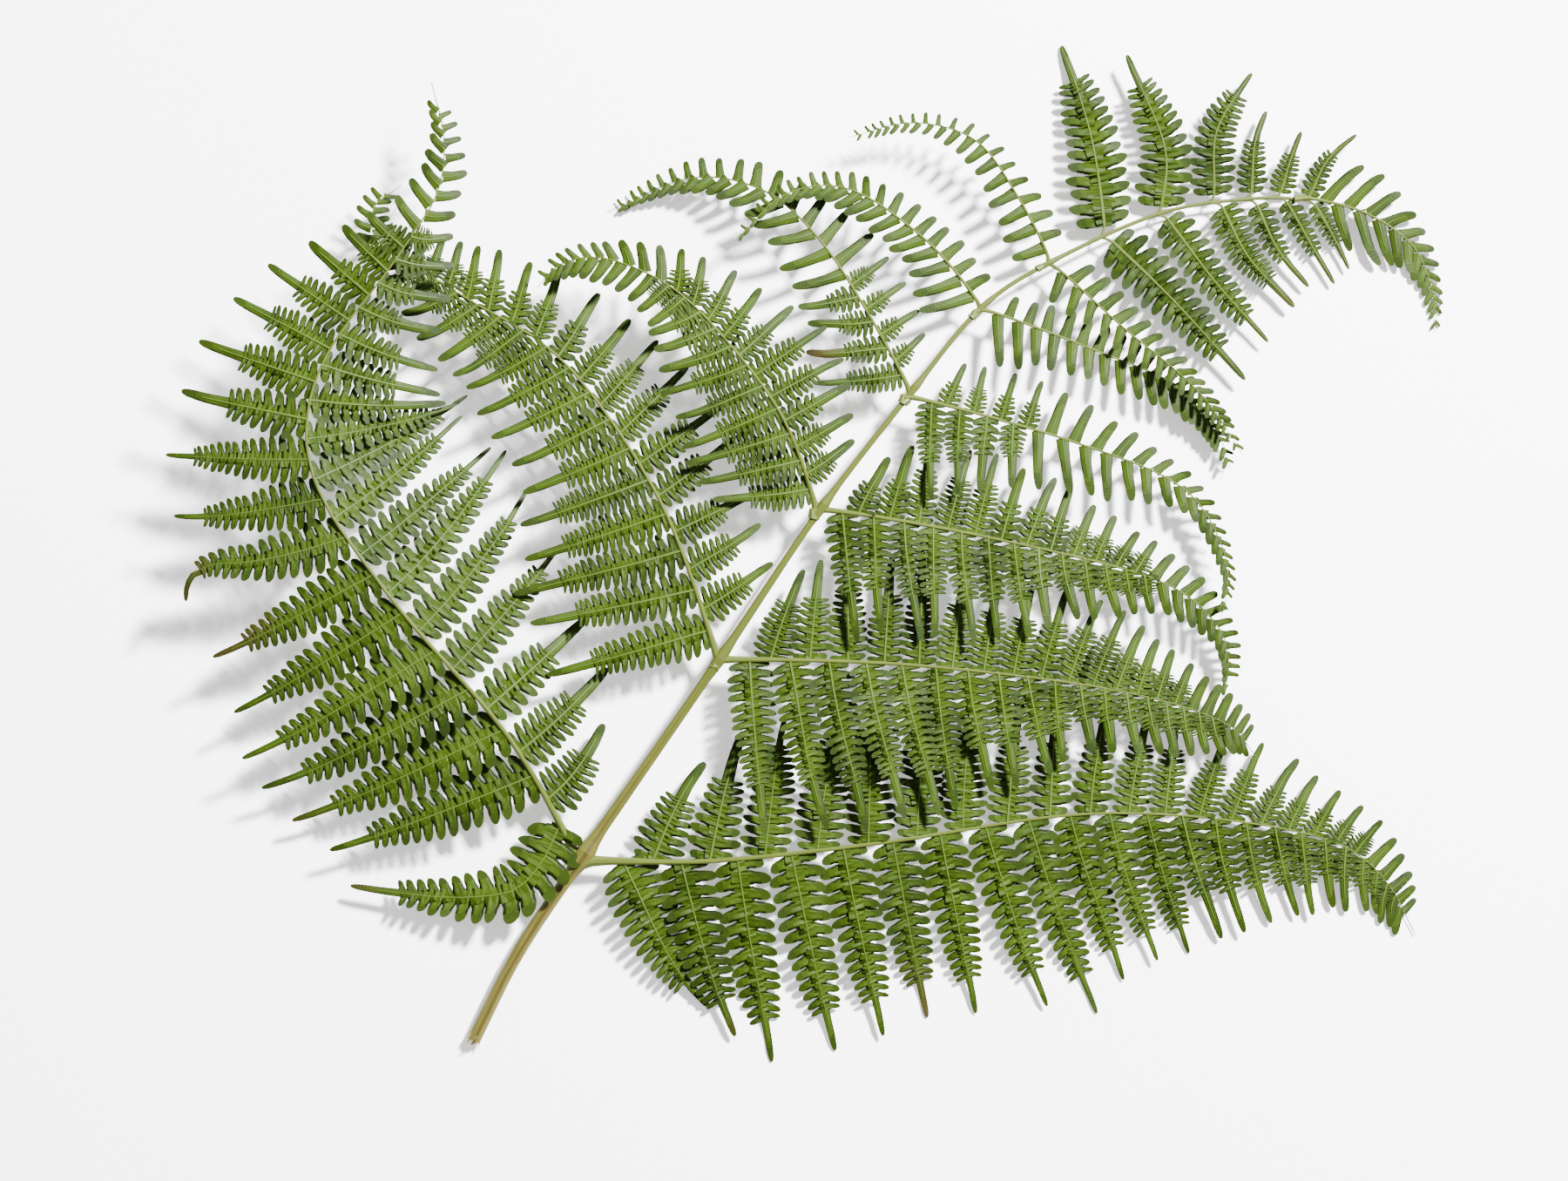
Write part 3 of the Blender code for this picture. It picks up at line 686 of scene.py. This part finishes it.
pinnaLeft2 = {
    "node": "pinna_left_2", "outerSide": 1, "pairs": 28, "ribRadius": 0.85,
    "lobed": 40, "longForm": "medium",
    "rib": [(-26, -32, 13), (-45, 19, 18), (-77, 65, 20), (-112, 88, 18), (-140, 106, 15),
            (-142, 119, 13), (-133, 126, 12)],
    "outer": {"reach": (54, 58, 42, 35, 26, 10, 3), "heading": (198, 191, 204, 206, 215, 190, 110),
              "half": (5.4, 5.0, 4.0, 2.6), "rise": (0.03, 0.05, 0.05)},
    "inner": {"reach": (28, 30, 35, 28, 22, 10, 3), "heading": (40, 28, 40, 50, 85, 60, -20),
              "half": (4.8, 4.4, 3.8, 2.6), "rise": (-0.10, -0.20, -0.20)},
}
pinnaLeft3 = {
    "node": "pinna_left_3", "outerSide": 1, "pairs": 26, "ribRadius": 0.75,
    "lobed": 40, "longForm": "medium",
    "rib": [(8, 18, 14), (-2, 45, 21), (-19, 69, 24), (-40, 90, 25), (-63, 100, 25), (-78, 98, 24),
            (-86, 90, 23)],
    "outer": {"reach": (33, 36, 33, 22, 12, 9, 3), "heading": (184, 198, 202, 200, 226, 235, 260),
              "half": (4.4, 4.0, 3.0), "rise": (0.06, 0.06, 0.04)},
    "inner": {"reach": (16, 25, 29, 20, 12, 6, 3), "heading": (40, 28, 34, 62, 95, 130, 160),
              "half": (4.0, 3.8, 2.8), "rise": (-0.10, -0.15, -0.12)},
}
pinnaLeft4 = {
    "node": "pinna_left_4", "outerSide": 1, "pairs": 26, "ribRadius": 0.65,
    "lobed": 4, "longForm": "medium",
    "rib": [(40, 57, 13), (24, 86, 17), (9, 108, 17), (-9, 124, 13), (-34, 129, 7), (-63, 118, 1)],
    "outer": {"reach": (32, 24, 18, 15, 10, 6, 3), "heading": (188, 184, 198, 195, 210, 230, 235),
              "half": (3.6, 2.8), "rise": (0.08, 0.06, 0.05)},
    "inner": {"reach": (14, 16, 16, 11, 8, 5, 2), "heading": (50, 34, 38, 62, 85, 115, 130),
              "half": (3.0, 2.4), "rise": (-0.16, -0.16, -0.08)},
    "aged": {("outer", 1): 0.85},
}
pinnaLeft5 = {
    "node": "pinna_left_5", "outerSide": 1, "pairs": 30, "ribRadius": 0.6,
    "lobed": 0, "longForm": "medium",
    "rib": [(64, 86, 11), (46, 107, 16), (20, 124, 19), (-2, 122, 20), (-19, 106, 21)],
    "outer": {"reach": (20, 14, 11, 10, 7, 5, 2), "heading": (200, 195, 204, 206, 218, 235, 245),
              "half": (2.1, 2.1), "rise": (0.14, 0.08, 0.04)},
    "inner": {"reach": (9, 9, 8, 7, 5, 4, 2), "heading": (28, 36, 48, 88, 110, 135, 155),
              "half": (2.1, 2.1), "rise": (-0.08, -0.10, -0.08)},
}
pinnaLeft6 = {
    "node": "pinna_left_6", "outerSide": 1, "pairs": 24, "ribRadius": 0.55,
    "lobed": 0, "longForm": "medium",
    "rib": [(88, 102, 9), (77, 123, 13), (63, 141, 15), (42, 147, 15), (19, 142, 14)],
    "outer": {"reach": (12, 11, 9, 8, 5, 4, 2), "heading": (195, 210, 214, 222, 225, 235, 250),
              "half": (2.0, 2.0), "rise": (0.08, 0.06, 0.04)},
    "inner": {"reach": (9, 8, 6, 5, 4, 3, 2), "heading": (22, 16, 16, 35, 85, 115, 140),
              "half": (2.0, 2.0), "rise": (-0.08, -0.08, -0.05)},
}
pinnaRight1 = {
    "node": "pinna_right_1", "outerSide": -1, "pairs": 29, "ribRadius": 0.95,
    "lobed": 40, "longForm": "broad",
    "rib": [(-66, -105, 9), (-26, -105, 9), (30, -99, 9), (102, -89, 8), (162, -93, 6), (198, -105, 3),
            (215, -131, 1)],
    "outer": {"reach": (60, 70, 62, 68, 45, 26, 5), "heading": (-60, -80, -79, -72, -71, -82, -105),
              "half": (7.6, 6.4, 4.8, 2.8), "rise": (-0.12, -0.12, -0.05)},
    "inner": {"reach": (32, 51, 51, 43, 35, 18, 4), "heading": (58, 80, 85, 84, 78, 55, 40),
              "half": (6.2, 6.0, 4.4, 2.6), "rise": (-0.07, -0.07, -0.03)},
    "aged": {("outer", 5): 0.8, ("outer", 1): 0.68},
}
pinnaRight2 = {
    "node": "pinna_right_2", "outerSide": -1, "pairs": 26, "ribRadius": 0.85,
    "lobed": 40, "longForm": "medium",
    "rib": [(-20, -36, 13), (42, -38, 12), (108, -46, 11), (147, -57, 10), (159, -69, 9)],
    "outer": {"reach": (61, 60, 50, 40, 22, 18, 4), "heading": (-88, -74, -78, -80, -80, -75, -70),
              "half": (5.6, 4.8, 3.4), "rise": (0.03, 0.03, 0.03)},
    "inner": {"reach": (27, 38, 38, 34, 27, 14, 4), "heading": (50, 88, 87, 78, 66, 70, 50),
              "half": (5.0, 4.6, 3.2), "rise": (-0.07, -0.07, -0.05)},
}
pinnaRight3 = {
    "node": "pinna_right_3", "outerSide": -1, "pairs": 30, "ribRadius": 0.75,
    "lobed": 40, "longForm": "medium",
    "rib": [(13, 15, 14), (66, 6, 13), (123, -8, 11), (145, -23, 9), (150, -38, 7), (148, -50, 6)],
    "outer": {"reach": (44, 40, 34, 23, 13, 8, 3), "heading": (-80, -86, -84, -78, -76, -90, -115),
              "half": (4.6, 4.0, 3.0), "rise": (0.08, 0.07, 0.05)},
    "inner": {"reach": (16, 31, 28, 20, 11, 6, 3), "heading": (48, 80, 70, 68, 55, 20, -30),
              "half": (4.2, 3.8, 2.8), "rise": (-0.07, -0.13, -0.08)},
}
pinnaRight4 = {
    "node": "pinna_right_4", "outerSide": -1, "pairs": 28, "ribRadius": 0.65,
    "lobed": 4, "longForm": "medium",
    "rib": [(44, 53, 13), (98, 38, 10), (135, 22, 9), (149, -3, 12), (147, -22, 13)],
    "outer": {"reach": (34, 25, 20, 15, 9, 6, 3), "heading": (-92, -98, -83, -84, -78, -100, -125),
              "half": (3.8, 2.8), "rise": (0.14, 0.12, 0.05)},
    "inner": {"reach": (14, 18, 16, 10, 6, 4, 2), "heading": (58, 78, 67, 50, 10, -30, -55),
              "half": (3.0, 2.4), "rise": (-0.07, -0.07, -0.05)},
}
pinnaRight5 = {
    "node": "pinna_right_5", "outerSide": -1, "pairs": 28, "ribRadius": 0.55,
    "lobed": 0, "longForm": "medium",
    "rib": [(68, 83, 11), (104, 70, 8), (134, 57, 6), (147, 41, 5), (151, 29, 5)],
    "outer": {"reach": (20, 13, 11, 12, 11, 7, 3), "heading": (-86, -95, -93, -82, -85, -100, -115),
              "half": (2.0, 2.0), "rise": (0.18, 0.14, 0.08)},
    "inner": {"reach": (7, 9, 10, 8, 6, 4, 2), "heading": (58, 76, 72, 55, 30, -10, -30),
              "half": (2.0, 2.0), "rise": (-0.05, -0.05, -0.03)},
}
pinnaRight6 = {
    "node": "pinna_right_6", "outerSide": -1, "pairs": 24, "ribRadius": 0.5,
    "lobed": 0, "longForm": "medium",
    "rib": [(91, 98, 9), (113, 78, 12), (139, 56, 11), (155, 34, 8)],
    "outer": {"reach": (12, 9, 8, 7, 6, 4, 2), "heading": (-107, -108, -106, -104, -100, -100, -100),
              "half": (1.9, 1.9), "rise": (0.02, 0.02, 0.02)},
    "inner": {"reach": (9, 10, 9, 7, 6, 5, 2), "heading": (38, 35, 32, 18, -5, -20, -30),
              "half": (1.9, 1.9), "rise": (-0.05, -0.05, -0.03)},
}
for spec in (pinnaLeft1, pinnaLeft2, pinnaLeft3, pinnaLeft4, pinnaLeft5, pinnaLeft6,
             pinnaRight1, pinnaRight2, pinnaRight3, pinnaRight4, pinnaRight5, pinnaRight6):
    growPinna(spec)
print("large pinnae ready")


# the upper pinnae have simple lobes on both sides of their rib, like a lobed pinnule
upperPinnae = [
    {"node": "pinna_left_7", "halfWidth": 7.5,
     "rib": [(107.5, 112.2, 7), (104, 138, 8), (99, 158, 5), (93, 175, 1)]},
    {"node": "pinna_left_8", "halfWidth": 6.6,
     "rib": [(127, 119, 6), (128, 140, 8), (115, 171, 8)]},
    {"node": "pinna_left_9", "halfWidth": 5.5,
     "rib": [(145, 123, 6), (146, 145, 8), (158, 165, 7)]},
    {"node": "pinna_left_10", "halfWidth": 3.6,
     "rib": [(158, 124, 5.5), (159, 140, 7), (163, 152, 6)]},
    {"node": "pinna_left_11", "halfWidth": 3.2,
     "rib": [(168, 124, 5), (171, 134, 6), (175, 145, 6)]},
    {"node": "pinna_left_12", "halfWidth": 2.8,
     "rib": [(178, 123, 4.5), (184, 135, 5.5), (194, 144, 6)]},
    {"node": "pinna_right_7", "halfWidth": 6.5,
     "rib": [(110.3, 107, 7), (132, 86, 8), (156, 60, 6)]},
    {"node": "pinna_right_8", "aged": 0.66, "halfWidth": 5.0,
     "rib": [(129, 115, 6), (145, 94, 7), (164, 73, 5)]},
    {"node": "pinna_right_9", "aged": 0.68, "halfWidth": 4.6,
     "rib": [(148, 119, 6), (157, 102, 6), (173, 85, 5)]},
    {"node": "pinna_right_10", "aged": 0.72, "halfWidth": 3.4,
     "rib": [(160, 119.8, 5), (167, 105, 5), (178, 92, 4)]},
    {"node": "pinna_right_11", "aged": 0.68, "halfWidth": 3.0,
     "rib": [(170, 121, 5), (179, 106, 4), (187, 93, 3)]},
    {"node": "pinna_right_12", "aged": 0.66, "halfWidth": 2.6,
     "rib": [(180, 120, 4), (187, 108, 4), (192, 98, 3)]},
]


upperLook = {"steps": 6, "tint": (-0.3, -0.05), "broadFrom": 44, "mediumFrom": 34,
             "ribRadius": 0.5, "ribTaper": 0.36}


def growUpperPinna(spec):
    rng = random.Random(spec["node"])
    steps = upperLook["steps"]
    points = [smoothPoint(spec["rib"], i / steps) for i in range(steps + 1)]
    span = sum(math.dist(a, b) for a, b in zip(points, points[1:]))
    form = "short"
    if span > upperLook["mediumFrom"]:
        form = "broad" if span > upperLook["broadFrom"] else "medium"
    piece = layAlong(masters[form][0], points, [spec["halfWidth"]] * len(points))
    tint = rng.uniform(*upperLook["tint"])
    setAttribute(piece, "tint", [t + tint for t in getAttribute(piece, "tint")])
    setAttribute(piece, "age", [spec.get("aged", 0.0)] * len(piece.data.vertices))
    rib = evenRoute(fromRachis(spec["rib"]))[0]
    rod = layRod(rodSource, rib, lambda f: upperLook["ribRadius"] - upperLook["ribTaper"] * f, 10)
    piece = joinPieces([piece, rod], spec["node"].replace("pinna", "leaf"))
    finishPiece(piece, spec["node"], "leaf_upper")


for spec in upperPinnae:
    growUpperPinna(spec)
print("upper pinnae ready")


# the end of the frond: the rachis thins out between its last lobes
frondTip = {
    "node": "frond_tip", "slot": "leaf_upper", "outerSide": 1, "ribRadius": 0.6,
    "pairs": 16, "lobed": 0, "longForm": "medium",
    "rib": [(180, 122, 4.5), (198, 117, 4), (214, 106, 2.5), (221, 90, 1.2), (222, 77, 0.9)],
    "outer": {"reach": (20, 14, 8, 5, 2), "heading": (50, 38, 5, -30, -60),
              "half": (2.4, 1.8), "rise": (0.05, 0.03, 0.0)},
    "inner": {"reach": (16, 20, 12, 6, 2), "heading": (-70, -68, -78, -110, -120),
              "half": (2.4, 1.8), "rise": (-0.02, -0.02, 0.0)},
}
growPinna(frondTip)


def makeStalk(spec):
    rng = random.Random(11)
    radii = spec["radii"]
    runs = [0.0]
    for a, b in zip(rachis, rachis[1:]):
        runs.append(runs[-1] + math.dist(a, b))
    swellings = []
    for x, y, radius, length in spec["nodes"]:
        k = min(range(len(rachis)), key=lambda i: math.dist(rachis[i][:2], (x, y)))
        swellings.append((runs[k], radius, length))

    def sizeAt(f):
        run = f * runs[-1]
        size = blend(radii, f)
        for middleRun, radius, length in swellings:
            share = math.exp(-((run - middleRun) / length) ** 2)
            size = size * (1 - share) + max(radius, size) * share
        return size

    shares = [i / (spec["knots"] - 1) for i in range(spec["knots"])]
    points = [along(rachis, f)[0] for f in shares]
    rod = layAlong(stalkSource, points, [sizeAt(f) for f in shares])
    setAttribute(rod, "run", [f * runs[-1] for f in getAttribute(rod, "far")])
    pieces = [rod]
    # torn threads stand out of the cut end, in two rings
    (x, y, z), r = spec["route"][0], radii[0]
    (asideX, asideY), (alongX, alongY) = spec["cutAside"], spec["cutAlong"]
    for i in range(spec["strands"]):
        turn = 2 * math.pi * i / spec["strands"] * 2
        out = r * (0.45 if i % 2 else 0.85) * rng.uniform(0.9, 1.1)
        side, up = math.cos(turn) * out, math.sin(turn) * out
        start = (x + asideX * side + 1.0, y + asideY * side + 1.8, max(z + up, 0.5))
        reach = spec["strandLength"] * rng.uniform(0.35, 1.0)
        spread = rng.uniform(-0.2, 0.2) * reach
        end = (start[0] - alongX * reach + asideX * spread,
               start[1] - alongY * reach + asideY * spread, start[2])
        between = tuple((a + b) / 2 for a, b in zip(start, end))
        pieces.append(layAlong(strandSource, [start, between, end], spec["strandRadii"]))
    piece = joinPieces(pieces, "stalk_skin")
    finishPiece(piece, "stalk", "stalk")


makeStalk(stalk)
print("stalk ready")

for source in (list(lobeSources.values()) + sum(masters.values(), [])
               + [strapSource, ribSource, rodSource, stalkSource, strandSource]):
    bpy.data.objects.remove(source, do_unlink=True)


# floor, lights and camera
def addLight(name, size, power, location, target):
    bpy.ops.object.light_add(type="AREA", location=location)
    light = bpy.context.object
    light.name = name
    light.data.size = size
    light.data.energy = power
    aim = [t - l for t, l in zip(target, location)]
    flat = math.hypot(aim[0], aim[1])
    light.rotation_euler = (math.atan2(flat, -aim[2]), 0, math.atan2(aim[1], aim[0]) - math.pi / 2)


clearSelection()
bpy.ops.mesh.primitive_plane_add(size=6, location=(0, 0, 0))
floor = bpy.context.object
floor.name = "floor"
floor.data.materials.append(makePlainMaterial("pale_paper", "#fafafa", 0.9, 0.5))

# a compact soft lamp above the far right side, and an even white room
lamp = {"size": 0.26, "power": 430.0, "location": (1.0, 1.06, 1.5), "target": (-0.03, -0.03, 0)}
addLight("lamp", lamp["size"], lamp["power"], lamp["location"], lamp["target"])
roomLight = 0.7
room = bpy.data.worlds.new("room")
bpy.context.scene.world = room
room.use_nodes = True
room.node_tree.nodes["Background"].inputs["Color"].default_value = (1, 1, 1, 1)
room.node_tree.nodes["Background"].inputs["Strength"].default_value = roomLight

cameraView = {"height": 1.5, "width": 0.54, "centre": (-2.25, -12.45)}
bpy.ops.object.camera_add(location=((cameraView["centre"][0] - middle[0]) * mm,
                                    (cameraView["centre"][1] - middle[1]) * mm,
                                    cameraView["height"]), rotation=(0, 0, 0))
camera = bpy.context.object
camera.data.sensor_width = 36
camera.data.lens = 36 * cameraView["height"] / cameraView["width"]
camera.data.clip_end = 20
bpy.context.scene.camera = camera
